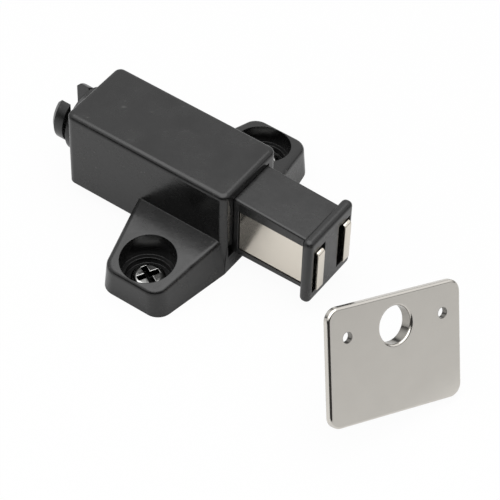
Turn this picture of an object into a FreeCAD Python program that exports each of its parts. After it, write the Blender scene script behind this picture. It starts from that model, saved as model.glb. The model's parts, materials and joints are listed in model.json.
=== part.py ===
# A push-to-open magnetic catch for a cabinet door, in millimetres, +Z up.
# The origin lies on the mounting surface, midway between the two fixing screws, and the
# plunger comes out of the housing along +X. The housing is one black moulding with two
# screw ears. A spring pushes the plunger out, a heart shaped track under the plunger and
# a wire follower latch it in, and the magnet behind its nose holds the strike plate.
import FreeCAD, Part
import math
import os

import Sketcher

Vector = FreeCAD.Vector

doc = FreeCAD.newDocument("magnetic_catch")
sheet = doc.addObject("Spreadsheet::Sheet", "Sizes")

# Every size that can be set by itself: alias, value in millimetres or degrees, what it is.
SIZES = [
    ("front_reach", 10.8, "screw line to the housing's front face"),
    ("housing_length", 40.2, "housing, front face to rear face"),
    ("housing_width", 18.0, "housing across"),
    ("housing_top", 22.5, "mounting surface to the top face"),
    ("housing_lift", 3.1, "gap under the rear of the housing"),
    ("housing_corner", 1.7, "radius of the upright corners"),
    ("housing_edge", 1.15, "radius round the top face"),
    ("rear_wall", 2.0, "wall that the plunger's tail passes"),
    ("collar_radius", 7.1, "raised ring round the tail's hole"),
    ("collar_rise", 1.9, "ring's height off the rear face"),
    ("ear_reach", 26.5, "mid plane to an ear's outer face"),
    ("ear_front_start", 0.4, "start of the ear's front foot, inside the housing's side"),
    ("ear_front_tip", 3.15, "foot of the ear behind the front face, at its tip"),
    ("ear_rear_root", 22.6, "foot of the ear's rear corner at the housing"),
    ("ear_rear_tip", 17.9, "foot of the ear's rear corner at its tip"),
    ("ear_draft", 5.5, "slope of the ears' front and rear faces, degrees"),
    ("ear_root_height", 9.6, "sloped top at the housing"),
    ("ear_tip_height", 7.0, "sloped top at the tip"),
    ("ear_corner", 3.4, "radius of an ear's outer corners"),
    ("ear_edge", 1.1, "radius round an ear's top"),
    ("screw_row", 20.0, "mid plane to a screw's axis"),
    ("pocket_radius", 5.85, "round pocket over a screw"),
    ("pocket_floor", 1.2, "seat under the screw's head"),
    ("ledge_radius", 4.9, "counterbore inside the pocket"),
    ("ledge_height", 2.7, "ring shaped step round the head"),
    ("screw_hole", 2.0, "radius of the hole in the ear"),
    ("head_radius", 3.6, "screw head"),
    ("head_height", 1.9, "screw head"),
    ("shank_radius", 1.45, "screw core, without its thread"),
    ("shank_length", 8.4, "screw under its head"),
    ("neck_plain", 1.65, "screw's plain neck, radius"),
    ("neck_plain_length", 1.7, "that neck, under the head"),
    ("point_length", 2.2, "screw's tapered point"),
    ("recess_span", 4.8, "cross recess, tip to tip"),
    ("recess_slot", 1.25, "width of a recess arm"),
    ("recess_depth", 1.5, "depth of the cross recess"),
    ("recess_taper", 8.0, "slope of the recess walls, degrees"),
    ("head_crown", 2.85, "flat middle of the screw head, radius"),
    ("head_rim", 1.0, "height of the head's upright rim"),
    ("head_round", 0.9, "radius between the crown and the head's cone"),
    ("left_cross", 62.0, "left screw, its recess turned about its axis, degrees"),
    ("right_cross", 20.0, "right screw, its recess turned about its axis, degrees"),
    ("plunger_width", 11.8, "plunger across"),
    ("plunger_bottom", 4.5, "plunger's underside at the housing"),
    ("plunger_top", 20.2, "plunger's top at the housing"),
    ("nose_bottom", 4.9, "plunger's underside at its flange"),
    ("nose_top", 19.5, "plunger's top at its flange"),
    ("plunger_out", 17.3, "housing to flange, released"),
    ("plunger_in", 12.0, "plunger's length inside, released"),
    ("plunger_edge", 0.5, "radius of the plunger's long edges"),
    ("guide_gap", 0.25, "play between plunger and housing"),
    ("cut_past", 0.5, "how far a through cut runs past the far face"),
    ("stroke", 16.0, "travel to the fully pushed stop"),
    ("mouth_notch", 1.3, "relief at the mouth's lower corners"),
    ("mouth_notch_top", 7.6, "top of that relief"),
    ("mouth_notch_depth", 2.5, "its depth along the plunger"),
    ("flange_thick", 2.4, "flange at the plunger's nose"),
    ("flange_width", 15.2, "flange across"),
    ("flange_bottom", 3.05, "flange, lower edge"),
    ("flange_top", 20.75, "flange, upper edge"),
    ("flange_corner", 1.15, "radius of the flange's corners"),
    ("flange_edge", 1.05, "radius round the flange's faces"),
    ("pole_bottom", 6.2, "pole plate, lower edge"),
    ("pole_top", 17.2, "pole plate, upper edge"),
    ("pole_thick", 2.0, "pole plate"),
    ("pole_inset", 0.25, "pole plate behind the plunger's side"),
    ("pole_start", 1.3, "pole plate's rear end before the mouth"),
    ("pole_proud", 0.9, "pole plate's end past the flange"),
    ("pole_corner", 0.8, "radius of the end's corners"),
    ("slot_inner", 1.3, "flange slot, inward of the pole plate"),
    ("slot_outer", 0.7, "flange slot, outward of the pole plate"),
    ("slot_end", 0.5, "flange slot, above and below"),
    ("seat_gap", 0.1, "clearance round the magnet and plates"),
    ("tail_height", 13.0, "tail's axis over the surface"),
    ("neck_radius", 4.3, "split tail"),
    ("neck_gap", 0.3, "tail's play in the rear wall"),
    ("barb_radius", 6.2, "hooked end of the tail"),
    ("barb_length", 3.2, "hooked end, along the tail"),
    ("barb_gap", 1.5, "barb to ring, released"),
    ("barb_lead", 1.0, "bevel at the barb's end"),
    ("tail_split", 6.1, "slot between the tail's two prongs"),
    ("tail_root", 4.0, "solid start of the tail"),
    ("spring_wire", 0.9, "return spring, wire diameter"),
    ("spring_radius", 5.05, "return spring, mean radius"),
    ("spring_turns", 8.0, "return spring, turns"),
    ("spring_gap", 0.15, "clearance at each end of the return spring"),
    ("follower_wire", 1.0, "latch follower, wire diameter"),
    ("follower_reach", 10.6, "follower, pivot to pin"),
    ("follower_pivot", 8.4, "pivot behind the screw line"),
    ("follower_drop", 0.7, "follower's arm under the plunger"),
    ("follower_bend", 0.6, "follower, radius of its two bends"),
    ("follower_play", 0.05, "radial play at the pivot"),
    ("follower_foot", 2.4, "pivot's depth in the housing"),
    ("lane_offset", 2.2, "track's two lanes off the mid plane"),
    ("lane_gap", 0.25, "play between pin and track"),
    ("track_depth", 1.3, "heart track in the plunger"),
    ("pin_bite", 0.95, "pin's depth in the track"),
    ("heart_back", 3.6, "pin at rest to the heart's point"),
    ("heart_waist", 10.6, "pin at rest to the heart's shoulders"),
    ("heart_seat", 11.4, "pin at rest to the heart's hollow"),
    ("heart_lobe", 12.7, "pin at rest to the heart's lobes"),
    ("heart_half", 1.35, "half of the heart's width"),
    ("heart_lobe_half", 0.8, "half of the width between its lobes' points"),
    ("heart_round", 0.3, "radius of the heart's corners"),
    ("strike_width", 32.5, "strike plate"),
    ("strike_height", 23.7, "strike plate"),
    ("strike_thick", 1.3, "strike plate"),
    ("strike_corner", 2.6, "radius of its corners"),
    ("strike_edge", 0.45, "radius round its front face"),
    ("strike_hole", 3.8, "radius of the large hole"),
    ("strike_hole_up", 5.7, "large hole over the plate's middle"),
    ("strike_collar", 1.3, "drawn collar behind the plate"),
    ("strike_collar_wall", 0.6, "drawn collar's wall"),
    ("strike_screw", 1.1, "radius of the small holes"),
    ("strike_screw_row", 11.7, "small holes off the large one"),
    ("strike_forward", 56.25, "strike plate's middle, along X"),
    ("strike_side", -16.05, "strike plate's middle, along Y"),
    ("strike_turn", 77.1, "strike plate turned about Z, degrees"),
    ("strike_lean", 28.2, "strike plate leaning back, degrees"),
    ("strike_roll", -18.8, "strike plate turned in its plane, degrees"),
]
for row, (alias, value, note) in enumerate(SIZES, start=1):
    sheet.set("A%d" % row, note)
    sheet.set("B%d" % row, str(value))
    sheet.setAlias("B%d" % row, alias)
doc.recompute()


def size(alias):
    """The spreadsheet cell of a size, for use in an expression."""
    return "Sizes." + alias


def number(expression):
    """What an expression is worth now."""
    return float(sheet.evalExpression(expression))


def total(*terms):
    """The sum of sizes and expressions; a name that starts with a minus is taken off."""
    signed = []
    for term in terms:
        sign = "-" if term.startswith("-") else "+"
        name = term.lstrip("-")
        plain = name.startswith("(")
        signed.append("%s %s" % (sign, name if plain else size(name)))
    return "(0 " + " ".join(signed) + ")"


def minus(expression):
    return "(-1 * %s)" % expression


def half(alias):
    return "(%s / 2)" % size(alias)


# Two coordinates of a shape closer than this are the same place.
CLOSE = 1e-4

# Places along X, worked out from the sizes.
FRONT = total("front_reach")
REAR = total("front_reach", "-housing_length")
REAR_INSIDE = total(REAR, "rear_wall")
COLLAR_FACE = total(REAR, "-collar_rise")
FLANGE_BACK = total("front_reach", "plunger_out")
FLANGE_FRONT = total(FLANGE_BACK, "flange_thick")
PLUNGER_BACK = total("front_reach", "-plunger_in")
BARB_FRONT = total(COLLAR_FACE, "-barb_gap")
BARB_BACK = total(BARB_FRONT, "-barb_length")
POLE_BACK = total("front_reach", "pole_start")
POLE_FRONT = total(FLANGE_FRONT, "pole_proud")
PIVOT = total("-follower_pivot")
# Places along Y.
SIDE = half("housing_width")
PLUNGER_SIDE = half("plunger_width")
POLE_OUTER = total(PLUNGER_SIDE, "-pole_inset")
POLE_INNER = total(POLE_OUTER, "-pole_thick")
# The follower's arm at rest points a little to -Y, so that its pin lies in the first lane.
PIN_SWING = "asin(%s / %s)" % (size("lane_offset"), size("follower_reach"))
PIN_X = total(PIVOT, "(%s * cos(%s))" % (size("follower_reach"), PIN_SWING))
ARM_Z = total("plunger_bottom", "-follower_drop", "-(%s / 2)" % size("follower_wire"))


def new_body(name):
    body = doc.addObject("PartDesign::Body", name)
    body.Label = name
    return body


def origin_plane(body, role):
    return [f for f in body.Origin.OriginFeatures if f.Role == role][0]


def sketch_on(body, name, role, offset=None):
    """A sketch on one of the body's own planes, moved along that plane's normal."""
    sketch = body.newObject("Sketcher::SketchObject", name)
    sketch.AttachmentSupport = (origin_plane(body, role), [""])
    sketch.MapMode = "FlatFace"
    if offset:
        sketch.setExpression("AttachmentOffset.Base.z", offset)
    return sketch


def fix_point(sketch, edge, point, place):
    """Holds a sketch point at a pair of expressions measured from the sketch's origin."""
    for kind, expression in zip(("DistanceX", "DistanceY"), place):
        if expression == "0":
            axis = -2 if kind == "DistanceX" else -1
            sketch.addConstraint(Sketcher.Constraint("PointOnObject", edge, point, axis))
            continue
        start = Sketcher.Constraint(kind, -1, 1, edge, point, number(expression))
        index = sketch.addConstraint(start)
        sketch.setExpression("Constraints[%d]" % index, expression)


def point_at(place):
    """The sketch point at a pair of expressions."""
    return Vector(number(place[0]), number(place[1]), 0)


def draw_outline(sketch, points):
    """A closed outline of straight edges through points given as pairs of expressions."""
    first = sketch.GeometryCount
    places = [point_at(place) for place in points]
    count = len(places)
    for index in range(count):
        edge = Part.LineSegment(places[index], places[(index + 1) % count])
        sketch.addGeometry(edge, False)
    for index in range(count):
        after = first + (index + 1) % count
        sketch.addConstraint(Sketcher.Constraint("Coincident", first + index, 2, after, 1))
    for index, place in enumerate(points):
        fix_point(sketch, first + index, 1, place)


def draw_box(sketch, left, right, low, high):
    draw_outline(sketch, [(left, low), (right, low), (right, high), (left, high)])


def draw_round_box(sketch, left, right, low, high, radius):
    """A box whose four corners are arcs of one radius."""
    first = sketch.GeometryCount
    left_in, low_in = ["(%s + %s)" % (edge, radius) for edge in (left, low)]
    right_in, high_in = ["(%s - %s)" % (edge, radius) for edge in (right, high)]
    starts = [(left_in, low), (right, low_in), (right_in, high), (left, high_in)]
    ends = [(right_in, low), (right, high_in), (left_in, high), (left, low_in)]
    corners = [(right_in, low_in), (right_in, high_in), (left_in, high_in), (left_in, low_in)]
    for start, end in zip(starts, ends):
        sketch.addGeometry(Part.LineSegment(point_at(start), point_at(end)), False)
    for index, corner in enumerate(corners):
        turned = math.radians(90.0 * (index - 1))
        circle = Part.Circle(point_at(corner), Vector(0, 0, 1), number(radius))
        arc = Part.ArcOfCircle(circle, turned, turned + math.pi / 2)
        sketch.addGeometry(arc, False)
    for index in range(4):
        arc = first + 4 + index
        sketch.addConstraint(Sketcher.Constraint("Coincident", first + index, 2, arc, 1))
        after = first + (index + 1) % 4
        sketch.addConstraint(Sketcher.Constraint("Coincident", arc, 2, after, 1))
        fix_point(sketch, first + index, 1, starts[index])
        fix_point(sketch, first + index, 2, ends[index])
        held = sketch.addConstraint(Sketcher.Constraint("Radius", arc, number(radius)))
        sketch.setExpression("Constraints[%d]" % held, radius)


def draw_circle(sketch, centre, radius):
    circle = Part.Circle(point_at(centre), Vector(0, 0, 1), number(radius))
    edge = sketch.addGeometry(circle, False)
    fix_point(sketch, edge, 3, centre)
    index = sketch.addConstraint(Sketcher.Constraint("Radius", edge, number(radius)))
    sketch.setExpression("Constraints[%d]" % index, radius)


def extrude(body, kind, name, sketch, length, side="One side", backwards=False, taper=None):
    """A pad or a pocket, which has to add or to take something away."""
    doc.recompute()
    before = body.Shape.Volume if not body.Shape.isNull() else 0.0
    feature = body.newObject("PartDesign::" + kind, name)
    feature.Profile = sketch
    feature.SideType = side
    feature.Reversed = backwards
    feature.setExpression("Length", length)
    if taper:
        feature.setExpression("TaperAngle", taper)
    doc.recompute()
    check_change(feature, before, body.Shape.Volume)


def turn(body, kind, name, sketch, axis):
    """A revolution about one of the sketch's own axes."""
    doc.recompute()
    before = body.Shape.Volume if not body.Shape.isNull() else 0.0
    feature = body.newObject("PartDesign::" + kind, name)
    feature.Profile = sketch
    feature.ReferenceAxis = (sketch, [axis])
    feature.Angle = 360.0
    doc.recompute()
    check_change(feature, before, body.Shape.Volume)


def check_change(feature, before, after):
    grows = feature.TypeId.endswith(("Pad", "Revolution"))
    if (after - before) * (1 if grows else -1) <= 0:
        raise RuntimeError(feature.Name + " changes nothing")


def edges_where(shape, test):
    """The names of the edges whose bounding box passes a test."""
    return ["Edge%d" % index for index, edge in enumerate(shape.Edges, start=1)
            if test(edge.BoundBox, edge)]


def round_edges(body, name, radius, test):
    """A fillet on the edges of the body so far that pass a test."""
    doc.recompute()
    base = body.Tip
    names = edges_where(base.Shape, test)
    if not names:
        raise RuntimeError(name + " finds no edge")
    feature = body.newObject("PartDesign::Fillet", name)
    feature.Base = (base, names)
    feature.setExpression("Radius", radius)
    doc.recompute()


def near(one, other):
    return abs(one - other) < CLOSE


def upright(box):
    return box.XLength < CLOSE and box.YLength < CLOSE and box.ZLength > CLOSE


def make_housing():
    """The one-piece moulding: ears, square housing, tunnel, ring and screw pockets."""
    body = new_body("housing")
    # Both ears are one sloped section right across, trimmed to their plan at the surface by
    # faces that lean inward, so that each ear is broadest at its foot.
    side, tip = SIDE, size("ear_reach")
    tip_front = total("front_reach", "-ear_front_tip")
    root_rear = total("front_reach", "-ear_rear_root")
    tip_rear = total("front_reach", "-ear_rear_tip")
    slope = sketch_on(body, "ear_section", "YZ_Plane", FRONT)
    root_height, tip_height = size("ear_root_height"), size("ear_tip_height")
    # Inside the case both slopes rise on to a ridge in the mid plane.
    ridge = "(%s + (%s - %s) * %s / (%s - %s))" % (
        root_height, root_height, tip_height, side, tip, side)
    draw_outline(slope, [(minus(tip), "0"), (tip, "0"), (tip, tip_height), ("0", ridge),
                         (minus(tip), tip_height)])
    extrude(body, "Pad", "ears", slope, size("ear_rear_root"), backwards=True)
    trim = sketch_on(body, "ear_plan", "XY_Plane")
    far = total("ear_reach", "ear_reach")
    foot = total(side, "-ear_front_start")
    for root, start, end, past in ((FRONT, foot, tip_front, far),
                                   (root_rear, side, tip_rear, minus(far))):
        # The line from the root to the tip goes on as far again, past the ear's end.
        beyond = "(2 * %s - %s)" % (end, root)
        outer = "(2 * %s - %s)" % (tip, start)
        for way in (lambda across: across, minus):
            draw_outline(trim, [(root, way(start)), (beyond, way(outer)),
                                (past, way(outer)), (past, way(start))])
    extrude(body, "Pocket", "ear_trim", trim, ridge, backwards=True,
            taper=size("ear_draft"))
    reach, side_now = number(tip), number(side)
    round_edges(body, "ear_corners", size("ear_corner"),
                lambda box, edge: near(abs(box.YMin), reach) and box.ZLength > CLOSE
                and box.YLength < CLOSE)
    low = number(tip_height)
    round_edges(body, "ear_rims", size("ear_edge"),
                lambda box, edge: box.ZMin > low - CLOSE
                and max(abs(box.YMin), abs(box.YMax)) > side_now + CLOSE)
    # The case is joined to the ears' section at the front, and hangs over behind it.
    top_now = number(size("housing_top"))
    case = sketch_on(body, "case_plan", "XY_Plane", size("housing_lift"))
    draw_round_box(case, REAR, FRONT, minus(side), side, size("housing_corner"))
    extrude(body, "Pad", "case", case, total("housing_top", "-housing_lift"))
    round_edges(body, "case_top", size("housing_edge"),
                lambda box, edge: near(box.ZMin, top_now) and near(box.ZMax, top_now))
    ring = sketch_on(body, "ring_section", "YZ_Plane", REAR)
    draw_circle(ring, ("0", size("tail_height")), size("collar_radius"))
    extrude(body, "Pad", "ring", ring, size("collar_rise"), backwards=True)
    # The tunnel that guides the plunger, the tail's hole and the relief at the mouth.
    tunnel = sketch_on(body, "tunnel_section", "YZ_Plane", FRONT)
    tunnel_side = total(PLUNGER_SIDE, "guide_gap")
    floor, roof = total("plunger_bottom", "-guide_gap"), total("plunger_top", "guide_gap")
    draw_box(tunnel, minus(tunnel_side), tunnel_side, floor, roof)
    extrude(body, "Pocket", "tunnel", tunnel, total("housing_length", "-rear_wall"))
    hole = sketch_on(body, "tail_hole_section", "YZ_Plane", REAR_INSIDE)
    draw_circle(hole, ("0", size("tail_height")), total("neck_radius", "neck_gap"))
    extrude(body, "Pocket", "tail_hole", hole, total("rear_wall", "collar_rise", "cut_past"))
    notch = sketch_on(body, "mouth_section", "YZ_Plane", FRONT)
    notch_side = total(tunnel_side, "mouth_notch")
    draw_box(notch, minus(notch_side), notch_side, floor, size("mouth_notch_top"))
    extrude(body, "Pocket", "mouth_relief", notch, size("mouth_notch_depth"))
    # Each ear's pocket has a ring shaped ledge round the head and a hole for the shank.
    pockets = [("pocket", "pocket_radius", "ledge_height"),
               ("head_seat", "ledge_radius", "pocket_floor")]
    for name, radius, level in pockets:
        round_hole = sketch_on(body, name + "_plan", "XY_Plane", size("ear_root_height"))
        for row in (size("screw_row"), minus(size("screw_row"))):
            draw_circle(round_hole, ("0", row), size(radius))
        extrude(body, "Pocket", name, round_hole, total("ear_root_height", "-" + level))
    shank = sketch_on(body, "screw_hole_plan", "XY_Plane", size("pocket_floor"))
    for row in (size("screw_row"), minus(size("screw_row"))):
        draw_circle(shank, ("0", row), size("screw_hole"))
    extrude(body, "Pocket", "screw_holes", shank, total("pocket_floor", "cut_past"))
    # The follower lies in a fan shaped hollow in the tunnel's floor, with its pivot in a hole.
    fan = sketch_on(body, "fan_plan", "XY_Plane", floor)
    fan_back = total(PIVOT, "-follower_wire")
    fan_front = total(PIVOT, "follower_reach", "follower_wire")
    fan_wide = total("lane_offset", "follower_wire")
    draw_outline(fan, [(fan_back, minus(size("follower_wire"))), (fan_front, minus(fan_wide)),
                       (fan_front, fan_wide), (fan_back, size("follower_wire"))])
    fan_depth = total("follower_drop", "follower_wire")
    extrude(body, "Pocket", "follower_hollow", fan, fan_depth)
    pivot = sketch_on(body, "pivot_plan", "XY_Plane", floor)
    pivot_radius = total("(%s / 2)" % size("follower_wire"), "follower_play")
    draw_circle(pivot, (PIVOT, "0"), pivot_radius)
    extrude(body, "Pocket", "pivot_hole", pivot, total("plunger_bottom", "cut_past"))
    return body


def make_plunger():
    """The sliding moulding: tapered nose, slotted flange, heart track and split tail."""
    body = new_body("plunger")
    flange = sketch_on(body, "flange_section", "YZ_Plane", FLANGE_BACK)
    flange_side = half("flange_width")
    draw_box(flange, minus(flange_side), flange_side, size("flange_bottom"),
             size("flange_top"))
    extrude(body, "Pad", "flange", flange, size("flange_thick"))
    round_edges(body, "flange_corners", size("flange_corner"),
                lambda box, edge: box.YLength < CLOSE and box.ZLength < CLOSE)
    round_edges(body, "flange_rim", size("flange_edge"),
                lambda box, edge: box.XLength < CLOSE)
    profile = sketch_on(body, "nose_profile", "XZ_Plane")
    low, high = size("plunger_bottom"), size("plunger_top")
    nose_front = total(FLANGE_BACK, half("flange_thick"))
    draw_outline(profile, [
        (PLUNGER_BACK, low), (FRONT, low), (nose_front, size("nose_bottom")),
        (nose_front, size("nose_top")), (FRONT, high), (PLUNGER_BACK, high)])
    extrude(body, "Pad", "nose", profile, size("plunger_width"), "Symmetric")
    side_now = number(PLUNGER_SIDE)
    back_now = number(FLANGE_BACK)
    round_edges(body, "nose_edges", size("plunger_edge"),
                lambda box, edge: near(abs(box.YMin), side_now) and box.YLength < CLOSE
                and box.XLength > CLOSE and box.XMin < back_now - CLOSE)
    # The tail is one turned profile, split afterwards into two prongs.
    tail = sketch_on(body, "tail_profile", "XZ_Plane")
    axis = size("tail_height")
    neck, barb = total("tail_height", "neck_radius"), total("tail_height", "barb_radius")
    lead = total("tail_height", "barb_radius", "-barb_lead")
    bevel = total(BARB_BACK, "barb_lead")
    draw_outline(tail, [
        (BARB_BACK, axis), (PLUNGER_BACK, axis), (PLUNGER_BACK, neck), (BARB_FRONT, neck),
        (BARB_FRONT, barb), (bevel, barb), (BARB_BACK, lead)])
    edge = tail.addGeometry(Part.LineSegment(
        Vector(number(BARB_BACK), number(axis), 0),
        Vector(number(PLUNGER_BACK), number(axis), 0)), True)
    fix_point(tail, edge, 1, (BARB_BACK, axis))
    fix_point(tail, edge, 2, (PLUNGER_BACK, axis))
    turn(body, "Revolution", "tail", tail, "Axis0")
    split = sketch_on(body, "split_plan", "XY_Plane", total("tail_height", "barb_radius"))
    half_split = half("tail_split")
    draw_box(split, total(BARB_BACK, "-barb_length"), total(PLUNGER_BACK, "-tail_root"),
             minus(half_split), half_split)
    extrude(body, "Pocket", "split", split, "(%s * 2 + %s)" % (
        size("barb_radius"), size("cut_past")))
    # One window right across holds the magnet between the two pole plates.
    window = sketch_on(body, "window_profile", "XZ_Plane")
    draw_box(window, total(POLE_BACK, "-seat_gap"), FLANGE_BACK,
             total("pole_bottom", "-seat_gap"), total("pole_top", "seat_gap"))
    extrude(body, "Pocket", "window", window, total("flange_width", "cut_past"), "Symmetric")
    slots = sketch_on(body, "slot_section", "YZ_Plane", FLANGE_FRONT)
    inner, outer = total(POLE_INNER, "-slot_inner"), total(POLE_OUTER, "slot_outer")
    for way in (lambda across: across, minus):
        draw_box(slots, way(inner), way(outer), total("pole_bottom", "-slot_end"),
                 total("pole_top", "slot_end"))
    extrude(body, "Pocket", "slots", slots, size("flange_thick"))
    # The track has full width at both ends of the stroke, and a heart stands between its lanes.
    track = sketch_on(body, "track_plan", "XY_Plane", size("plunger_bottom"))
    play = total("(%s / 2)" % size("follower_wire"), "lane_gap")
    wide = total("lane_offset", play)
    straight_pin = total(PIVOT, "follower_reach")
    draw_box(track, total(PIN_X, minus(play)), total(straight_pin, "stroke", play),
             minus(wide), wide)
    seat, lobe = total(PIN_X, "heart_seat"), total(PIN_X, "heart_lobe")
    waist, tip = total(PIN_X, "heart_waist"), total(PIN_X, "heart_back")
    broad = size("heart_half")
    slim = size("heart_lobe_half")
    draw_outline(track, [(tip, "0"), (waist, minus(broad)), (lobe, minus(slim)), (seat, "0"),
                         (lobe, slim), (waist, broad)])
    extrude(body, "Pocket", "heart_track", track, size("track_depth"), backwards=True)
    tip_now, lobe_now = number(tip), number(lobe)
    wide_now = number(broad)
    round_edges(body, "heart_corners", size("heart_round"),
                lambda box, edge: upright(box) and abs(box.YMin) < wide_now + CLOSE
                and tip_now - CLOSE < box.XMin < lobe_now + CLOSE
                and box.ZMax < number(size("pole_bottom")))
    return body


def make_pole_plate(name, start):
    """A steel plate from a place towards -Y, with its front end through the flange."""
    body = new_body(name)
    profile = sketch_on(body, name + "_profile", "XZ_Plane", start)
    draw_box(profile, POLE_BACK, POLE_FRONT, size("pole_bottom"), size("pole_top"))
    extrude(body, "Pad", name + "_plate", profile, size("pole_thick"))
    tip_now = number(POLE_FRONT)
    round_edges(body, name + "_corners", size("pole_corner"),
                lambda box, edge: near(box.XMin, tip_now) and near(box.XMax, tip_now)
                and box.YLength > CLOSE)
    return body


def make_magnet():
    """The ferrite block between the pole plates."""
    body = new_body("magnet")
    section = sketch_on(body, "magnet_section", "YZ_Plane", POLE_BACK)
    draw_box(section, minus(POLE_INNER), POLE_INNER, size("pole_bottom"), size("pole_top"))
    extrude(body, "Pad", "block", section, total(FLANGE_BACK, minus(POLE_BACK), "-seat_gap"))
    return body


def make_spring():
    """The return spring round the tail: tilted half turns of wire, each tangent to the next."""
    wire = number(size("spring_wire")) / 2
    end_play = wire + number(size("spring_gap"))
    start = number(REAR_INSIDE) + end_play
    length = number(PLUNGER_BACK) - end_play - start
    radius = number(size("spring_radius"))
    count = round(2 * number(size("spring_turns")))
    step = length / count
    sideways = Vector(0, 1, 0)
    halves = []
    for index in range(count):
        out = radius if index % 2 == 0 else -radius
        begin, finish = Vector(out, 0, index * step), Vector(-out, 0, (index + 1) * step)
        section = Part.Face(Part.Wire(Part.Circle(begin, sideways, wire).toShape()))
        axis = sideways.cross(finish - begin) * math.copysign(1, out)
        halves.append(section.revolve((begin + finish) / 2, axis, 180))
    spring = doc.addObject("Part::Feature", "return_spring")
    spring.Label = "return_spring"
    spring.Shape = halves[0].multiFuse(halves[1:])
    along_x = FreeCAD.Rotation(Vector(0, 0, 1), Vector(1, 0, 0))
    spring.Placement = FreeCAD.Placement(Vector(start, 0, number(size("tail_height"))), along_x)
    return spring


def make_follower():
    """The latch follower: a bent wire, from its pivot along the arm and up into the track."""
    radius = number(size("follower_wire")) / 2
    reach, arm = number(size("follower_reach")), number(ARM_Z)
    foot = arm - number(size("follower_foot"))
    tip = number(size("plunger_bottom")) + number(size("pin_bite"))
    bend = number(size("follower_bend"))
    root, end = Vector(0, 0, arm), Vector(reach, 0, arm)
    diagonal = bend * (1 - math.sqrt(0.5))
    edges = [
        Part.LineSegment(Vector(0, 0, foot), root - Vector(0, 0, bend)),
        Part.Arc(root - Vector(0, 0, bend), root + Vector(diagonal, 0, -diagonal),
                 root + Vector(bend, 0, 0)),
        Part.LineSegment(root + Vector(bend, 0, 0), end - Vector(bend, 0, 0)),
        Part.Arc(end - Vector(bend, 0, 0), end + Vector(-diagonal, 0, diagonal),
                 end + Vector(0, 0, bend)),
        Part.LineSegment(end + Vector(0, 0, bend), Vector(reach, 0, tip)),
    ]
    path = Part.Wire([edge.toShape() for edge in edges])
    ring = Part.Wire(Part.Circle(Vector(0, 0, foot), Vector(0, 0, 1), radius).toShape())
    follower = doc.addObject("Part::Feature", "cam_follower")
    follower.Label = "cam_follower"
    follower.Shape = path.makePipeShell([ring], True, False)
    swing = -math.degrees(math.asin(number(size("lane_offset")) / reach))
    follower.Placement = FreeCAD.Placement(Vector(number(PIVOT), 0, 0),
                                           FreeCAD.Rotation(Vector(0, 0, 1), swing))
    return follower


def make_screw(name, row, turned):
    """A pan head screw with a cross recess; its thread is not modelled."""
    body = new_body(name)
    profile = sketch_on(body, name + "_profile", "XZ_Plane")
    seat, top = size("pocket_floor"), total("pocket_floor", "head_height")
    shoulder, crown = total("pocket_floor", "head_rim"), size("head_crown")
    end = total("pocket_floor", "-shank_length")
    neck_end = total("pocket_floor", "-neck_plain_length")
    draw_outline(profile, [
        ("0", end), ("0", top), (crown, top), (size("head_radius"), shoulder),
        (size("head_radius"), seat), (size("neck_plain"), seat),
        (size("neck_plain"), neck_end), (size("shank_radius"), neck_end),
        (size("shank_radius"), total(end, "point_length"))])
    turn(body, "Revolution", name + "_turned", profile, "V_Axis")
    top_now, crown_now = number(top), number(crown)
    round_edges(body, name + "_crown", size("head_round"),
                lambda box, edge: near(box.ZMin, top_now) and near(box.ZMax, top_now)
                and near(box.XMax, crown_now))
    recess = sketch_on(body, name + "_recess", "XY_Plane", top)
    arm, wide = half("recess_span"), half("recess_slot")
    draw_outline(recess, [
        (arm, minus(wide)), (arm, wide), (wide, wide), (wide, arm), (minus(wide), arm),
        (minus(wide), wide), (minus(arm), wide), (minus(arm), minus(wide)),
        (minus(wide), minus(wide)), (minus(wide), minus(arm)), (wide, minus(arm)),
        (wide, minus(wide))])
    extrude(body, "Pocket", name + "_cross", recess, size("recess_depth"),
            taper=minus(size("recess_taper")))
    body.Placement = FreeCAD.Placement(Vector(0, 0, 0), Vector(0, 0, 1), number(turned))
    body.setExpression("Placement.Rotation.Angle", turned)
    body.setExpression("Placement.Base.y", row)
    return body


def make_strike_plate():
    """The steel plate for the door: rounded edges, a drawn collar and two screw holes."""
    body = new_body("strike_plate")
    face = sketch_on(body, "strike_face", "XY_Plane")
    side, rise = half("strike_width"), half("strike_height")
    draw_box(face, minus(side), side, minus(rise), rise)
    extrude(body, "Pad", "plate", face, size("strike_thick"), backwards=True)
    side_now = number(side)
    round_edges(body, "strike_corners", size("strike_corner"),
                lambda box, edge: upright(box) and near(abs(box.XMin), side_now))
    round_edges(body, "strike_rim", size("strike_edge"),
                lambda box, edge: near(box.ZMin, 0) and near(box.ZMax, 0))
    centre = ("0", size("strike_hole_up"))
    behind = minus(size("strike_thick"))
    collar = sketch_on(body, "collar_face", "XY_Plane", behind)
    draw_circle(collar, centre, total("strike_hole", "strike_collar_wall"))
    extrude(body, "Pad", "collar", collar, size("strike_collar"), backwards=True)
    hole = sketch_on(body, "hole_face", "XY_Plane")
    draw_circle(hole, centre, size("strike_hole"))
    extrude(body, "Pocket", "hole", hole, total("strike_thick", "strike_collar", "cut_past"))
    hole_now = number(size("strike_hole"))
    round_edges(body, "hole_rim", size("strike_edge"),
                lambda box, edge: near(box.ZMin, 0) and near(box.ZMax, 0)
                and near(box.XMax, hole_now))
    small = sketch_on(body, "small_hole_face", "XY_Plane")
    for across in (size("strike_screw_row"), minus(size("strike_screw_row"))):
        draw_circle(small, (across, size("strike_hole_up")), size("strike_screw"))
    extrude(body, "Pocket", "small_holes", small, total("strike_thick", "cut_past"))
    body.Placement = strike_placement()
    return body


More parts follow.
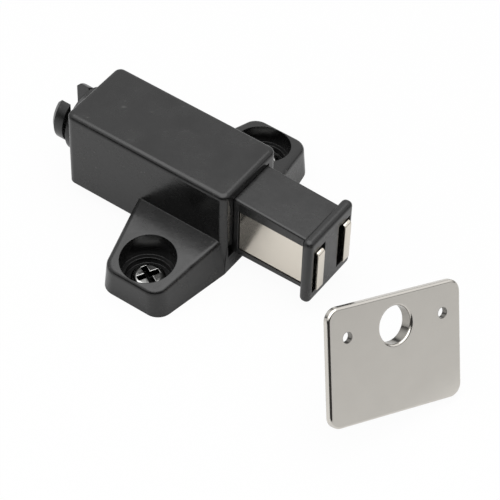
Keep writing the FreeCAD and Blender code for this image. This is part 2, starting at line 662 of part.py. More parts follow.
def strike_placement():
    """The plate faces the viewer's side, leans back and is turned, its lowest corner at z = 0."""
    turned, lean, roll = [math.radians(number(size(alias)))
                          for alias in ("strike_turn", "strike_lean", "strike_roll")]
    level = Vector(math.cos(turned), math.sin(turned), 0)
    facing = Vector(math.sin(turned), -math.cos(turned), 0)
    steep = Vector(0, 0, 1) * math.cos(lean) - facing * math.sin(lean)
    across = level * math.cos(roll) + steep * math.sin(roll)
    upward = steep * math.cos(roll) - level * math.sin(roll)
    normal = across.cross(upward)
    lowest = (number(half("strike_height")) * abs(upward.z)
              + number(half("strike_width")) * abs(across.z))
    lift = lowest + number(size("strike_thick")) * abs(normal.z)
    centre = Vector(number(size("strike_forward")), number(size("strike_side")), lift)
    return FreeCAD.Placement(centre, FreeCAD.Rotation(across, upward, normal, "ZXY"))


def make_parts():
    parts = [make_housing(), make_plunger()]
    parts.append(make_pole_plate("pole_plate_left", POLE_INNER))
    parts.append(make_pole_plate("pole_plate_right", minus(POLE_OUTER)))
    parts.append(make_magnet())
    parts.append(make_spring())
    parts.append(make_follower())
    parts.append(make_screw("screw_left", minus(size("screw_row")), size("left_cross")))
    parts.append(make_screw("screw_right", size("screw_row"), size("right_cross")))
    parts.append(make_strike_plate())
    return parts


parts = make_parts()
doc.recompute()
for item in doc.Objects:
    if "Invalid" in item.State or "Error" in item.State:
        raise RuntimeError(item.Name + " failed: " + str(item.State))
os.makedirs("parts", exist_ok=True)
for part in parts:
    shape = part.Shape
    if shape.isNull() or not shape.isValid() or len(shape.Solids) != 1:
        raise RuntimeError(part.Label + " is not one valid solid")
    shape.exportStep("parts/%s.step" % part.Label)
    print("%-18s %9.1f mm3" % (part.Label, shape.Volume))
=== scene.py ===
"""Looks of a push-to-open magnetic catch: finishes, screw threads, spring, pole plates, stage."""
import json
import math

import bpy
import numpy as np
from mathutils import Matrix, Vector


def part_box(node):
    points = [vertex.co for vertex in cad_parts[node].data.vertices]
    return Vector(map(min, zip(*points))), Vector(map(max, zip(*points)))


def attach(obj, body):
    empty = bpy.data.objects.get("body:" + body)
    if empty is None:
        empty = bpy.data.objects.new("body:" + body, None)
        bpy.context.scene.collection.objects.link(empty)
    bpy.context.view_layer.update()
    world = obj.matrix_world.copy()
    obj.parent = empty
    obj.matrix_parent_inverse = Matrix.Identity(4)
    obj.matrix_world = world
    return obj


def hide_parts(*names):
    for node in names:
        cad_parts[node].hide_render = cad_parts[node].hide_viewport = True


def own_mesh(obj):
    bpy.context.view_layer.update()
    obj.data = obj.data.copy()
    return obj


bl_info = {
    "name": "Magnetic catch",
    "version": (1, 0, 0),
    "blender": (4, 2, 0),
    "location": "3D View > Sidebar > Catch",
    "description": "Finishes and small parts of a magnetic touch catch, with its stage",
    "category": "Object",
}

MM = 0.001
# The photograph's side in pixels, and the camera's sensor in millimetres.
FRAME_PIXELS = 500
SENSOR_WIDTH = 36.0
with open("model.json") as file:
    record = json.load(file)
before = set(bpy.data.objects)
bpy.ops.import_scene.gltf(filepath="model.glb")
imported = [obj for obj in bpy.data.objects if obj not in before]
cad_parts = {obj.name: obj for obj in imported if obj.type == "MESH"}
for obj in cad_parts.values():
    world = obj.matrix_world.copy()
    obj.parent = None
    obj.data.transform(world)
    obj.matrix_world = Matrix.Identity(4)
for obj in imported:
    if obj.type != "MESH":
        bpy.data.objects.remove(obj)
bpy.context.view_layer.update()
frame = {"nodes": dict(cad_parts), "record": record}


def linear(text):
    """The linear colour of an sRGB hex value."""
    values = np.array([int(text[place:place + 2], 16) for place in (1, 3, 5)]) / 255
    curved = ((values + 0.055) / 1.055) ** 2.4
    return tuple(np.where(values <= 0.04045, values / 12.92, curved).tolist())


def colour_prop(name, description, text):
    """A colour that the user can change, given as an sRGB hex value."""
    return bpy.props.FloatVectorProperty(
        name=name, description=description, subtype="COLOR", size=3, min=0, max=1,
        default=linear(text))


def length_prop(name, description, millimetres):
    """A length that the user can change, given in millimetres and kept in metres."""
    return bpy.props.FloatProperty(
        name=name, description=description, default=millimetres * MM, min=0,
        unit="LENGTH", precision=5)


def angle_prop(name, description, degrees):
    """An angle that the user can change, given in degrees and kept in radians."""
    return bpy.props.FloatProperty(
        name=name, description=description, default=math.radians(degrees), subtype="ANGLE")


def share_prop(name, description, share):
    """A plain number from 0 to 1 that the user can change."""
    return bpy.props.FloatProperty(
        name=name, description=description, default=share, min=0, max=1)


def power_prop(name, description, watts):
    """A lamp's power that the user can change."""
    return bpy.props.FloatProperty(
        name=name, description=description, default=watts, min=0, unit="POWER")


class CatchPlastic(bpy.types.PropertyGroup):
    housing: colour_prop("Housing", "Colour of the housing's moulding", "#0B0B0B")
    plunger: colour_prop("Plunger", "Colour of the plunger's moulding", "#141414")
    scuff: colour_prop("Scuffs", "Colour of the pale hair scratches", "#4A4A48")
    roughness: share_prop("Roughness", "Middle roughness of the satin skin", 0.25)
    grain: length_prop("Grain", "Spacing of the mould's fine texture", 0.28)
    sink: length_prop("Sink marks", "Spacing of the shallow sink marks", 1.1)
    hair: length_prop("Scratches", "Width of the hair scratches", 0.35)
    mottle: length_prop("Mottle", "Size of the faint satin clouds", 5.0)
    edge: length_prop("Edges", "How far the edges look rounded off", 0.22)


class CatchSteel(bpy.types.PropertyGroup):
    plate: colour_prop("Strike plate", "Nickel plating of the strike plate", "#D9D5CE")
    # The two hole-wall colours are darker than the plate: painted shade inside the holes.
    collar_wall_shade: colour_prop("Collar", "Wall of the strike plate's large hole", "#A3A09A")
    punched_wall_shade: colour_prop("Punched holes", "Walls of its two screw holes", "#7C7A76")
    poles: colour_prop("Pole plates", "Nickel plating of the pole plates", "#E6DFD3")
    wire: colour_prop("Wire", "Drawn steel of spring and follower", "#B9B9B7")
    plate_roughness: share_prop("Plate roughness", "Roughness of the strike plate", 0.13)
    pole_roughness: share_prop("Pole roughness", "Roughness of the pole plates", 0.16)
    rolling: length_prop("Rolling lines", "Spacing of the sheet's rolling lines", 0.12)
    clouds: length_prop("Clouds", "Size of the plating's faint clouds", 4.0)
    corner: length_prop("Pole corner", "Radius of the pole plates' corners in front", 0.8)
    edge: length_prop("Pole edge", "Radius of the pole plates' stamped edges", 0.16)


class CatchScrew(bpy.types.PropertyGroup):
    plating: colour_prop("Plating", "Black zinc plating of the screws", "#B0B0AE")
    # The recess colour is nearly black: painted shade inside the cross recess.
    recess: colour_prop("Recess", "Thick plating inside the cross recess", "#1E1E1E")
    recess_reach: length_prop("Recess reach", "How far the recess goes from the middle", 2.42)
    core: length_prop("Core", "Radius of the shank under the thread", 1.45)
    start: length_prop("Start", "How far under the ears the thread starts", 0.5)
    point: length_prop("Point", "Length of the tapered point", 2.2)
    pitch: length_prop("Pitch", "Distance between two turns of the thread", 1.35)
    height: length_prop("Height", "How far the thread stands off the core", 0.42)
    foot: length_prop("Foot", "Half of the thread's width at the core", 0.34)


class CatchSpring(bpy.types.PropertyGroup):
    wire: length_prop("Wire", "Diameter of the spring's wire", 0.9)
    turns: bpy.props.FloatProperty(
        name="Turns", description="Turns of wire, the closed ends included", default=9.0,
        min=3.0)


class CatchStage(bpy.types.PropertyGroup):
    azimuth: angle_prop("Azimuth", "Camera's direction round the catch, from the front", 34.13)
    elevation: angle_prop("Elevation", "Camera's height angle", 48.36)
    roll: angle_prop("Roll", "Camera's turn about its own axis", 1.9)
    distance: length_prop("Distance", "Camera to the housing's lower front edge", 469.98)
    lens: bpy.props.FloatProperty(
        name="Lens", description="Focal length on a 36 mm wide sensor", default=164.25,
        min=1.0, unit="CAMERA")
    sky: share_prop("Sky", "Even light from all round", 0.3)
    horizon: share_prop("Horizon", "How bright reflections of the room's horizon are", 0.04)
    shade: share_prop(
        "Shade", "How much higher the room's dark band is behind the camera", 0.62)
    dome: share_prop("Dome", "Height at which the room's reflection is fully bright", 0.32)
    key: power_prop("Key", "Power of the large soft lamp overhead", 2.3)
    fill: power_prop("Fill", "Power of the second lamp, at the left and behind", 0.5)


GROUPS = {
    "catch_plastic": CatchPlastic, "catch_steel": CatchSteel, "catch_screw": CatchScrew,
    "catch_spring": CatchSpring, "catch_stage": CatchStage,
}


def add(tree, kind, settings=None, inputs=None):
    """Adds a node, sets its own settings, and fills its sockets with values or links."""
    node = tree.nodes.new(kind)
    for name, value in (settings or {}).items():
        setattr(node, name, value)
    for name, value in (inputs or {}).items():
        if isinstance(value, bpy.types.NodeSocket):
            tree.links.new(value, node.inputs[name])
        else:
            node.inputs[name].default_value = value
    return node


def new_material(name):
    """An empty material and the place of a point on the object, in metres."""
    material = bpy.data.materials.new(name)
    material.use_nodes = True
    tree = material.node_tree
    tree.nodes.clear()
    place = add(tree, "ShaderNodeTexCoord").outputs["Object"]
    return material, tree, place


def finish_material(tree, shader):
    """Joins a shader to the material's output."""
    add(tree, "ShaderNodeOutputMaterial", inputs={"Surface": shader.outputs[0]})


def rgba(value):
    """A colour property as the four numbers a socket needs."""
    return (*value, 1.0)


def moulded_plastic(name, base, skin):
    """Glass filled nylon from a spark eroded mould: near black and satin, so that it shows
    mostly reflections. A fine grain and shallow sink marks make the highlights along the
    edges uneven, faint clouds show where the melt flowed, and a few hair scratches are pale."""
    grain_depth, sink_depth = 0.02 * MM, 0.05 * MM
    scratch_turn, scratch_length = (0.3, 0.2, 0.8), 9.0
    material, tree, place = new_material(name)
    clouds = add(tree, "ShaderNodeTexNoise", inputs={
        "Vector": place, "Scale": 1 / skin.mottle, "Detail": 3.0, "Roughness": 0.55})
    satin = add(tree, "ShaderNodeMapRange", inputs={
        "Value": clouds.outputs["Fac"], "From Min": 0.3, "From Max": 0.7,
        "To Min": skin.roughness - 0.05, "To Max": skin.roughness + 0.06})
    stretch = add(tree, "ShaderNodeMapping", {"vector_type": "TEXTURE"}, {
        "Vector": place, "Rotation": scratch_turn, "Scale": (scratch_length, 1.0, 1.0)})
    scratch = add(tree, "ShaderNodeTexNoise", inputs={
        "Vector": stretch.outputs["Vector"], "Scale": 1 / skin.hair, "Detail": 2.0})
    # A scratch shows only where both noises are high, which makes the scratches few.
    sparse = add(tree, "ShaderNodeMath", {"operation": "MULTIPLY"}, {
        0: scratch.outputs["Fac"], 1: clouds.outputs["Fac"]})
    marked = add(tree, "ShaderNodeMapRange", inputs={
        "Value": sparse.outputs[0], "From Min": 0.41, "From Max": 0.47})
    shade = add(tree, "ShaderNodeMix", {"data_type": "RGBA"}, {
        "Factor": marked.outputs["Result"], 6: rgba(base), 7: rgba(skin.scuff)})
    fine = add(tree, "ShaderNodeTexNoise", inputs={
        "Vector": place, "Scale": 1 / skin.grain, "Detail": 2.0, "Roughness": 0.6})
    sink = add(tree, "ShaderNodeTexNoise", inputs={
        "Vector": place, "Scale": 1 / skin.sink, "Detail": 2.0})
    soft = add(tree, "ShaderNodeBevel", {"samples": 6}, {"Radius": skin.edge})
    wavy = add(tree, "ShaderNodeBump", inputs={
        "Strength": 0.34, "Distance": sink_depth, "Height": sink.outputs["Fac"],
        "Normal": soft.outputs["Normal"]})
    bump = add(tree, "ShaderNodeBump", inputs={
        "Strength": 0.22, "Distance": grain_depth, "Height": fine.outputs["Fac"],
        "Normal": wavy.outputs["Normal"]})
    shader = add(tree, "ShaderNodeBsdfPrincipled", inputs={
        "Base Color": shade.outputs[2], "Roughness": satin.outputs["Result"],
        "IOR": 1.53, "Normal": bump.outputs["Normal"]})
    finish_material(tree, shader)
    return material


def near_axis(tree, place, point, direction, radius):
    """1 within a radius of a line and 0 past it: the distance is the length of the cross
    product of the line's direction and the way from its point, and the change is soft."""
    softness = 0.06 * MM
    way = add(tree, "ShaderNodeVectorMath", {"operation": "SUBTRACT"}, {0: place, 1: point})
    across = add(tree, "ShaderNodeVectorMath", {"operation": "CROSS_PRODUCT"}, {
        0: way.outputs[0], 1: direction})
    length = add(tree, "ShaderNodeVectorMath", {"operation": "LENGTH"}, {0: across.outputs[0]})
    return add(tree, "ShaderNodeMapRange", inputs={
        "Value": length.outputs["Value"], "From Min": radius, "From Max": radius + softness,
        "To Min": 1.0, "To Max": 0.0}).outputs["Result"]


def nickel_sheet(name, base, roughness, turned, steel, holes=()):
    """Cold rolled steel sheet with satin nickel plating: warm pale grey metal, even and
    smooth, with long rolling lines so faint that they only soften its reflections. The
    walls of its holes get a darker colour, which is painted shade inside the holes."""
    line_length, line_depth, cloud_depth = 60.0, 0.006, 0.93
    wall_margin, edge_radius = 0.02 * MM, 0.12 * MM
    material, tree, place = new_material(name)
    stretch = add(tree, "ShaderNodeMapping", {"vector_type": "TEXTURE"}, {
        "Vector": place, "Rotation": (0.0, 0.0, turned), "Scale": (line_length, 1.0, 1.0)})
    rolled = add(tree, "ShaderNodeTexNoise", inputs={
        "Vector": stretch.outputs["Vector"], "Scale": 1 / steel.rolling, "Detail": 3.0,
        "Roughness": 0.6})
    clouds = add(tree, "ShaderNodeTexNoise", inputs={
        "Vector": place, "Scale": 1 / steel.clouds, "Detail": 2.0})
    satin = add(tree, "ShaderNodeMapRange", inputs={
        "Value": rolled.outputs["Fac"], "From Min": 0.3, "From Max": 0.7,
        "To Min": roughness - line_depth, "To Max": roughness + line_depth})
    darker = tuple(part * cloud_depth for part in base)
    shade = add(tree, "ShaderNodeMix", {"data_type": "RGBA"}, {
        "Factor": clouds.outputs["Fac"], 6: rgba(base), 7: rgba(darker)})
    # Painted shade: each hole's wall, inside the hole's radius, gets the darker colour.
    for hole, shaded_wall in holes:
        radius = hole["dims"]["r_mm"] * MM + wall_margin
        wall = near_axis(tree, place, hole["pos_m"], hole["axis"], radius)
        shade = add(tree, "ShaderNodeMix", {"data_type": "RGBA"}, {
            "Factor": wall, 6: shade.outputs[2], 7: rgba(shaded_wall)})
    soft = add(tree, "ShaderNodeBevel", {"samples": 6}, {"Radius": edge_radius})
    shader = add(tree, "ShaderNodeBsdfPrincipled", inputs={
        "Base Color": shade.outputs[2], "Metallic": 1.0,
        "Roughness": satin.outputs["Result"], "Normal": soft.outputs["Normal"]})
    finish_material(tree, shader)
    return material


def drawn_wire(name, base):
    """Drawn spring steel wire: bright grey metal with fine scratches from the die."""
    scratch_width = 0.15 * MM
    material, tree, place = new_material(name)
    scratch = add(tree, "ShaderNodeTexNoise", inputs={
        "Vector": place, "Scale": 1 / scratch_width, "Detail": 3.0})
    satin = add(tree, "ShaderNodeMapRange", inputs={
        "Value": scratch.outputs["Fac"], "To Min": 0.2, "To Max": 0.4})
    shader = add(tree, "ShaderNodeBsdfPrincipled", inputs={
        "Base Color": rgba(base), "Metallic": 1.0, "Roughness": satin.outputs["Result"]})
    finish_material(tree, shader)
    return material


def plated_screw_steel(name, screw, centre, crown):
    """Cold headed screw steel with black zinc plating: glossy dark metal, slightly uneven
    where the plating is thick, so that it mirrors the dark pocket and glints at its edges.
    Inside the cross recess the colour is nearly black, which is painted shade in the recess."""
    crown_skin, film_width, film_depth, edge_radius = 0.04 * MM, 0.8 * MM, 0.04 * MM, 0.2 * MM
    material, tree, place = new_material(name)
    # Painted shade: within the recess's reach of the middle and under the crown, the colour is
    # nearly black.
    inner = near_axis(tree, place, centre, (0.0, 0.0, 1.0), screw.recess_reach)
    height = add(tree, "ShaderNodeSeparateXYZ", inputs={"Vector": place})
    below = add(tree, "ShaderNodeMath", {"operation": "LESS_THAN"}, {
        0: height.outputs["Z"], 1: crown - crown_skin})
    recess = add(tree, "ShaderNodeMath", {"operation": "MULTIPLY"}, {
        0: inner, 1: below.outputs[0]})
    shade = add(tree, "ShaderNodeMix", {"data_type": "RGBA"}, {
        "Factor": recess.outputs[0], 6: rgba(screw.plating), 7: rgba(screw.recess)})
    film = add(tree, "ShaderNodeTexNoise", inputs={
        "Vector": place, "Scale": 1 / film_width, "Detail": 2.0})
    gloss = add(tree, "ShaderNodeMapRange", inputs={
        "Value": film.outputs["Fac"], "From Min": 0.3, "From Max": 0.7,
        "To Min": 0.07, "To Max": 0.15})
    soft = add(tree, "ShaderNodeBevel", {"samples": 8}, {"Radius": edge_radius})
    bump = add(tree, "ShaderNodeBump", inputs={
        "Strength": 0.35, "Distance": film_depth, "Height": film.outputs["Fac"],
        "Normal": soft.outputs["Normal"]})
    shader = add(tree, "ShaderNodeBsdfPrincipled", inputs={
        "Base Color": shade.outputs[2], "Metallic": 1.0, "Roughness": gloss.outputs["Result"],
        "Normal": bump.outputs["Normal"]})
    finish_material(tree, shader)
    return material


def sintered_ferrite(name):
    """Pressed and ground ferrite: charcoal ceramic, dull, with fine pores."""
    pore_width, pore_depth = 0.3 * MM, 0.02 * MM
    material, tree, place = new_material(name)
    pores = add(tree, "ShaderNodeTexNoise", inputs={
        "Vector": place, "Scale": 1 / pore_width, "Detail": 4.0})
    shade = add(tree, "ShaderNodeMix", {"data_type": "RGBA"}, {
        "Factor": pores.outputs["Fac"], 6: rgba(linear("#2E2F31")), 7: rgba(linear("#45464A"))})
    bump = add(tree, "ShaderNodeBump", inputs={
        "Strength": 0.3, "Distance": pore_depth, "Height": pores.outputs["Fac"]})
    shader = add(tree, "ShaderNodeBsdfPrincipled", inputs={
        "Base Color": shade.outputs[2], "Roughness": 0.62, "Normal": bump.outputs["Normal"]})
    finish_material(tree, shader)
    return material


def new_piece(name, grid, material, body):
    """A closed piece from rows of points: each row is a loop, joined to the next row, and
    the first and last loops are closed with a flat face. The triple products of the faces'
    corners, taken from the piece's middle, add up to less than nothing where the faces
    point inward, and then they are turned."""
    rows, across = grid.shape[:2]
    points = grid.reshape(-1, 3)
    index = np.arange(rows * across).reshape(rows, across)
    after = np.roll(index, -1, axis=1)
    quads = np.stack([index[:-1], after[:-1], after[1:], index[1:]], axis=-1).reshape(-1, 4)
    corner = points[quads] - points.mean(axis=0)
    volume = np.einsum("ij,ij->i", corner[:, 0], np.cross(corner[:, 1], corner[:, 2])).sum()
    volume += np.einsum("ij,ij->i", corner[:, 0], np.cross(corner[:, 2], corner[:, 3])).sum()
    faces = quads.tolist() + [index[0, ::-1].tolist(), index[-1].tolist()]
    if volume < 0:
        faces = [face[::-1] for face in faces]
    mesh = bpy.data.meshes.new(name)
    mesh.from_pydata(points.tolist(), [], faces)
    mesh.validate()
    piece = bpy.data.objects.new(name, mesh)
    bpy.context.scene.collection.objects.link(piece)
    smooth = np.ones(len(mesh.polygons), dtype=bool)
    smooth[-2:] = False
    mesh.polygons.foreach_set("use_smooth", smooth)
    mesh.materials.append(material)
    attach(piece, body)
    return piece


def thread_grid(centre, tip, screw):
    """A four sided ridge wound on the core: its angle grows evenly while it goes down by
    one pitch a turn, its root lies on the core's radius, which shrinks evenly along the
    point, and its height fades to nothing at both ends."""
    rows, sunk, crest, bare_tip, fade_turns = 420, 0.94, 0.14, 0.15, 0.6
    tip_rise, tip_foot = 0.35, 0.4
    drop = np.linspace(0.0, -screw.start - tip - bare_tip * screw.point, rows)
    level = -screw.start - drop
    angle = 2 * np.pi * drop / screw.pitch
    taper = np.clip((level - tip) / screw.point, 0.0, 1.0)
    radius = screw.core * taper
    fade = np.clip(np.minimum(drop, drop[-1] - drop) / (fade_turns * screw.pitch), 0.0, 1.0)
    rise = screw.height * np.sqrt(fade) * (tip_rise + (1 - tip_rise) * taper)
    half = screw.foot * (tip_foot + (1 - tip_foot) * taper)
    out = np.stack([radius * sunk, radius + rise, radius + rise, radius * sunk], axis=1)
    along = np.stack([-half, -half * crest, half * crest, half], axis=1)
    return np.stack([
        centre[0] + out * np.cos(angle)[:, None],
        centre[1] + out * np.sin(angle)[:, None],
        level[:, None] + along], axis=-1)


def coil_grid(start, end, height, radius, wire, turns):
    """A round wire wound into a coil along X: the angle grows evenly, and the place along X
    follows a smooth step in pitch, so that the last turn at each end lies closed."""
    rows_per_turn, sides = 48, 14
    closed_turns, easing_turns, closed_pitch = 0.35, 0.7, 0.24
    share = np.linspace(0.0, 1.0, int(turns * rows_per_turn) + 1)
    inside = np.minimum(share, 1 - share) * turns - closed_turns
    open_share = np.clip(inside, 0.0, easing_turns) / easing_turns
    pitch = closed_pitch + open_share * open_share * (3 - 2 * open_share)
    along = np.concatenate([[0.0], np.cumsum((pitch[1:] + pitch[:-1]) / 2)])
    place = start + wire / 2 + along / along[-1] * (end - start - wire)
    angle = 2 * np.pi * turns * share
    round_wire = np.linspace(0.0, 2 * np.pi, sides, endpoint=False)
    out = radius + wire / 2 * np.cos(round_wire)[None, :]
    return np.stack([
        place[:, None] + wire / 2 * np.sin(round_wire)[None, :],
        out * np.cos(angle)[:, None],
        height + out * np.sin(angle)[:, None]], axis=-1)


def plate_grid(low, high, corner, edge):
    """A flat plate with stamped edges: a rounded outline in X and Z, carried across Y while
    it grows by a quarter circle at one face and shrinks by one at the other. The corners
    at its hidden rear end are a little rounder than its edges."""
    edge_rows, corner_points, rear_corner = 7, 9, 1.5 * edge
    turn = np.linspace(0.0, np.pi / 2, edge_rows)
    inset = np.concatenate([edge * (1 - np.sin(turn)), edge * (1 - np.sin(turn[::-1]))])
    across = np.concatenate([low[1] + edge * (1 - np.cos(turn)),
                             high[1] - edge * (1 - np.cos(turn[::-1]))])
    bend = np.linspace(0.0, np.pi / 2, corner_points)
    loops = []
    for quarter, (x, z, way_x, way_z, radius) in enumerate((
            (high[0], high[2], 1, 1, corner), (low[0], high[2], -1, 1, rear_corner),
            (low[0], low[2], -1, -1, rear_corner), (high[0], low[2], 1, -1, corner))):
        angle = bend + quarter * np.pi / 2
        centre_x, centre_z = x - way_x * radius, z - way_z * radius
        loops.append(np.stack([
            centre_x + (radius - inset)[:, None] * np.cos(angle)[None, :],
            np.repeat(across[:, None], len(angle), axis=1),
            centre_z + (radius - inset)[:, None] * np.sin(angle)[None, :]], axis=-1))
    return np.concatenate(loops, axis=1)


def paint(node, material):
    """Gives a solid of the frame its finish."""
    mesh = frame["nodes"][node].data
    mesh.materials.clear()
    mesh.materials.append(material)


def corners(node):
    """The lowest and the highest corner of a node."""
    low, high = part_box(node)
    return np.array(low), np.array(high)


class CATCH_OT_mouldings(bpy.types.Operator):
    """Finish the housing and the plunger as moulded plastic"""
    bl_idname = "catch.mouldings"
    bl_label = "Mouldings"

    def execute(self, context):
        skin = context.scene.catch_plastic
        for node in ("housing", "plunger"):
            paint(node, moulded_plastic("moulded nylon, " + node, getattr(skin, node), skin))
        return {"FINISHED"}


class CATCH_OT_strike_plate(bpy.types.Operator):
    """Finish the strike plate and the walls of its holes"""
    bl_idname = "catch.strike_plate"
    bl_label = "Strike plate"

    def execute(self, context):
        steel = context.scene.catch_steel
        bores = {mount["name"]: mount for mount in frame["record"]["mounts"]
                 if mount["kind"] == "bore"}
        # The walls get darker colours than the plate: painted shade inside the holes.
        holes = [(bores["strike_hole"], steel.collar_wall_shade),
                 (bores["strike_screw_left"], steel.punched_wall_shade),
                 (bores["strike_screw_right"], steel.punched_wall_shade)]
        # The rolling lines run level across the plate's face.
        face = bores["strike_hole"]["axis"]
        turned = math.atan2(face[0], -face[1])
        paint("strike_plate", nickel_sheet(
            "nickel plated sheet, strike plate", steel.plate, steel.plate_roughness, turned,
            steel, holes))
        return {"FINISHED"}


class CATCH_OT_pole_plates(bpy.types.Operator):
    """Build both pole plates with stamped edges, and finish the magnet between them"""
    bl_idname = "catch.pole_plates"
    bl_label = "Pole plates and magnet"

    def execute(self, context):
        steel = context.scene.catch_steel
        nickel = nickel_sheet(
            "nickel plated sheet, poles", steel.poles, steel.pole_roughness, 0.0, steel)
        for side in ("left", "right"):
            node = "pole_plate_" + side
            low, high = corners(node)
            grid = plate_grid(low, high, steel.corner, steel.edge)
            plate = new_piece("pole_sheet_" + side, grid, nickel, "plunger")
            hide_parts(node)
            paint(node, nickel)
        paint("magnet", sintered_ferrite("ground ferrite"))
        return {"FINISHED"}


class CATCH_OT_screws(bpy.types.Operator):
    """Finish both screws and wind their threads"""
    bl_idname = "catch.screws"
    bl_label = "Screws"

    def execute(self, context):
        screw = context.scene.catch_screw
        for side in ("left", "right"):
            low, high = corners("screw_" + side)
            centre = (low + high) / 2
            steel = plated_screw_steel("black zinc plated steel, " + side, screw,
                                       centre.tolist(), float(high[2]))
            paint("screw_" + side, steel)
            grid = thread_grid(centre, low[2], screw)
            new_piece("screw_thread_" + side, grid, steel, "housing")
        return {"FINISHED"}


class CATCH_OT_wires(bpy.types.Operator):
    """Finish the follower and wind the return spring with closed ends"""
    bl_idname = "catch.wires"
    bl_label = "Follower and return spring"

    def execute(self, context):
        base = context.scene.catch_steel.wire
        paint("cam_follower", drawn_wire("drawn steel, follower", base))
        steel = drawn_wire("drawn steel, spring", base)
        paint("return_spring", steel)
        spring = context.scene.catch_spring
        low, high = corners("return_spring")
        radius = (high[2] - low[2] - spring.wire) / 2
        grid = coil_grid(low[0], high[0], (low[2] + high[2]) / 2, radius, spring.wire,
                         spring.turns)
        coil = new_piece("return_spring_coil", grid, steel, "housing")
        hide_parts("return_spring")
        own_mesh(coil)
        return {"FINISHED"}


def seen_directly(tree, path):
    """1 for a ray straight from the camera or through glass, 0 for any other."""
    return add(tree, "ShaderNodeMath", {"operation": "MAXIMUM"}, {
        0: path.outputs["Is Camera Ray"], 1: path.outputs["Is Transmission Ray"]}).outputs[0]


def white_paper():
    """Matt white paper that the camera sees as nearly plain white, with a little of the
    object's soft shadow. A reflection sees plain paper beside the object, where the object
    shades it, and an even pale grey further off, so that plated steel looks calm."""
    shown, mirrored, shaded = 0.95, 0.95, 0.1
    shaded_reach, clear_reach = 60 * MM, 120 * MM
    mirrored_strength = 0.72
    material, tree, place = new_material("white paper floor")
    matte = add(tree, "ShaderNodeBsdfDiffuse", inputs={"Color": (0.86, 0.86, 0.86, 1)})
    path = add(tree, "ShaderNodeLightPath")
    strength = add(tree, "ShaderNodeMix", {"data_type": "FLOAT"}, {
        "Factor": path.outputs["Is Glossy Ray"], 2: 1.0, 3: mirrored_strength})
    glow = add(tree, "ShaderNodeEmission", inputs={
        "Color": (1, 1, 1, 1), "Strength": strength.outputs[0]})
    away = add(tree, "ShaderNodeVectorMath", {"operation": "LENGTH"}, {0: place})
    far = add(tree, "ShaderNodeMapRange", {"interpolation_type": "SMOOTHSTEP"}, {
        "Value": away.outputs["Value"], "From Min": shaded_reach, "From Max": clear_reach,
        "To Min": shaded, "To Max": mirrored})
    direct = add(tree, "ShaderNodeMath", {"operation": "MULTIPLY"}, {
        0: seen_directly(tree, path), 1: shown})
    glossy = add(tree, "ShaderNodeMath", {"operation": "MULTIPLY"}, {
        0: path.outputs["Is Glossy Ray"], 1: far.outputs["Result"]})
    share = add(tree, "ShaderNodeMath", {"operation": "MAXIMUM"}, {
        0: direct.outputs[0], 1: glossy.outputs[0]})
    mixed = add(tree, "ShaderNodeMixShader", inputs={
        0: share.outputs[0], 1: matte.outputs[0], 2: glow.outputs[0]})
    finish_material(tree, mixed)
    return material


def lay_floor():
    """A square of paper, a hair under the object."""
    reach, level = 3.0, -0.02 * MM
    mesh = bpy.data.meshes.new("floor")
    mesh.from_pydata([(-reach, -reach, level), (reach, -reach, level),
                      (reach, reach, level), (-reach, reach, level)], [], [(0, 1, 2, 3)])
    mesh.materials.append(white_paper())
    floor = bpy.data.objects.new("floor", mesh)
    bpy.context.scene.collection.objects.link(floor)
    return floor


def studio_world(stage):
    """A room that the camera sees as plain white and that lights evenly. In reflections it
    is dark at the horizon and bright from the dome's height up. The dark band is higher
    behind the camera's place, where the studio is unlit: there a direction counts as lower
    by a share of how far it points that way."""
    band_from, band_to = 0.25, 0.45
    world = bpy.data.worlds.new("studio")
    world.use_nodes = True
    tree = world.node_tree
    tree.nodes.clear()
    direction = add(tree, "ShaderNodeTexCoord").outputs["Generated"]
    height = add(tree, "ShaderNodeSeparateXYZ", inputs={"Vector": direction})
    behind = (math.sin(stage.azimuth), -math.cos(stage.azimuth), 0.0)
    facing = add(tree, "ShaderNodeVectorMath", {"operation": "DOT_PRODUCT"}, {
        0: direction, 1: behind})
    narrow = add(tree, "ShaderNodeMapRange", {"interpolation_type": "SMOOTHSTEP"}, {
        "Value": facing.outputs["Value"], "From Min": band_from, "From Max": band_to})
    banded = add(tree, "ShaderNodeMath", {"operation": "MULTIPLY"}, {
        0: facing.outputs["Value"], 1: narrow.outputs["Result"]})
    lowered = add(tree, "ShaderNodeMath", {"operation": "MULTIPLY_ADD"}, {
        0: banded.outputs[0], 1: -stage.shade, 2: height.outputs["Z"]})
    dome = add(tree, "ShaderNodeMapRange", {"interpolation_type": "SMOOTHSTEP"}, {
        "Value": lowered.outputs[0], "From Min": 0.0, "From Max": stage.dome,
        "To Min": stage.horizon, "To Max": 1.0})
    path = add(tree, "ShaderNodeLightPath")
    mirrored = add(tree, "ShaderNodeMix", {"data_type": "FLOAT"}, {
        "Factor": path.outputs["Is Glossy Ray"], 2: stage.sky, 3: dome.outputs["Result"]})
    strength = add(tree, "ShaderNodeMix", {"data_type": "FLOAT"}, {
        "Factor": seen_directly(tree, path), 2: mirrored.outputs[0], 3: 1.0})
    sky = add(tree, "ShaderNodeBackground", inputs={
        "Color": (1, 1, 1, 1), "Strength": strength.outputs[0]})
    add(tree, "ShaderNodeOutputWorld", inputs={"Surface": sky.outputs[0]})
    return world


def add_lamp(name, position, size, power):
    """A round soft lamp that points its -Z axis between the housing and the strike plate."""
    aim = Vector((25 * MM, 0.0, 10 * MM))
    lamp = bpy.data.lights.new(name, "AREA")
    lamp.shape, lamp.size, lamp.energy = "DISK", size, power
    holder = bpy.data.objects.new(name, lamp)
    turn = (aim - Vector(position)).to_track_quat("-Z", "Y").to_matrix().to_4x4()
    holder.matrix_world = Matrix.Translation(position) @ turn
    bpy.context.scene.collection.objects.link(holder)
    return holder


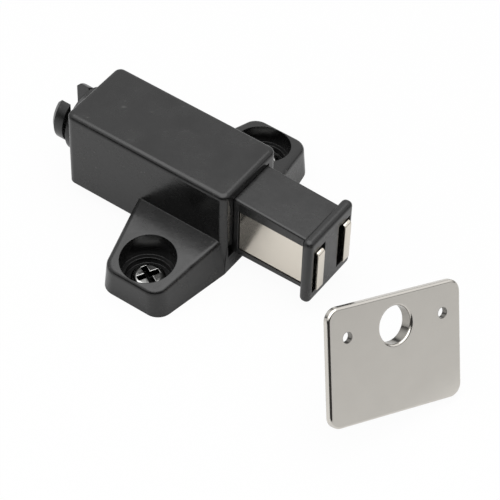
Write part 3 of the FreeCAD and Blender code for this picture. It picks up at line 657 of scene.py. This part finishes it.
def place_camera(scene, stage):
    """The camera looks at the middle of the housing's lower front edge, which lies a little
    up and to the left of the photograph's middle."""
    pixels_right, pixels_down = 0.97, 0.87
    a, e, roll = stage.azimuth, stage.elevation, stage.roll
    back = Vector((math.sin(a) * math.cos(e), -math.cos(a) * math.cos(e), math.sin(e)))
    level = Vector((math.cos(a), math.sin(a), 0.0))
    steep = back.cross(level)
    right = level * math.cos(roll) + steep * math.sin(roll)
    up = steep * math.cos(roll) - level * math.sin(roll)
    pixel = stage.distance / (stage.lens / SENSOR_WIDTH * FRAME_PIXELS)
    front_edge = Vector((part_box("housing")[1][0], 0.0, 0.0))
    target = front_edge + right * (pixels_right * pixel) - up * (pixels_down * pixel)
    data = bpy.data.cameras.new("camera")
    data.sensor_width, data.lens = SENSOR_WIDTH, stage.lens
    data.clip_start, data.clip_end = 0.01, 20.0
    camera = bpy.data.objects.new("camera", data)
    turn = Matrix((right, up, back)).transposed().to_4x4()
    camera.matrix_world = Matrix.Translation(target + back * stage.distance) @ turn
    scene.collection.objects.link(camera)
    scene.camera = camera


class CATCH_OT_stage(bpy.types.Operator):
    """Lay the pale floor, set the lamps and the world, and place the camera"""
    bl_idname = "catch.stage"
    bl_label = "Stage"

    def execute(self, context):
        scene, stage = context.scene, context.scene.catch_stage
        lay_floor()
        scene.world = studio_world(stage)
        add_lamp("key lamp", (0.03, -0.02, 0.45), 0.7, stage.key)
        fill = add_lamp("fill lamp", (-0.25, -0.38, 0.25), 0.35, stage.fill)
        fill.visible_glossy = False
        scene.view_settings.view_transform = "Standard"
        place_camera(scene, stage)
        return {"FINISHED"}


OPERATORS = (CATCH_OT_mouldings, CATCH_OT_strike_plate, CATCH_OT_pole_plates,
             CATCH_OT_screws, CATCH_OT_wires, CATCH_OT_stage)


class CATCH_PT_panel(bpy.types.Panel):
    """Sizes, colours and steps of the catch"""
    bl_idname = "CATCH_PT_panel"
    bl_label = "Magnetic catch"
    bl_space_type = "VIEW_3D"
    bl_region_type = "UI"
    bl_category = "Catch"

    def draw(self, context):
        for operator in OPERATORS:
            self.layout.operator(operator.bl_idname)
        for name, group in GROUPS.items():
            box = self.layout.box()
            for key in group.__annotations__:
                box.prop(getattr(context.scene, name), key)


CLASSES = (*GROUPS.values(), *OPERATORS, CATCH_PT_panel)


def register():
    for item in CLASSES:
        bpy.utils.register_class(item)
    for name, group in GROUPS.items():
        setattr(bpy.types.Scene, name, bpy.props.PointerProperty(type=group))


def unregister():
    for name in GROUPS:
        delattr(bpy.types.Scene, name)
    for item in reversed(CLASSES):
        bpy.utils.unregister_class(item)


def main():
    """Builds every piece in order."""
    register()
    bpy.ops.catch.mouldings()
    bpy.ops.catch.strike_plate()
    bpy.ops.catch.pole_plates()
    bpy.ops.catch.screws()
    bpy.ops.catch.wires()
    bpy.ops.catch.stage()


if __name__ == "__main__":
    main()
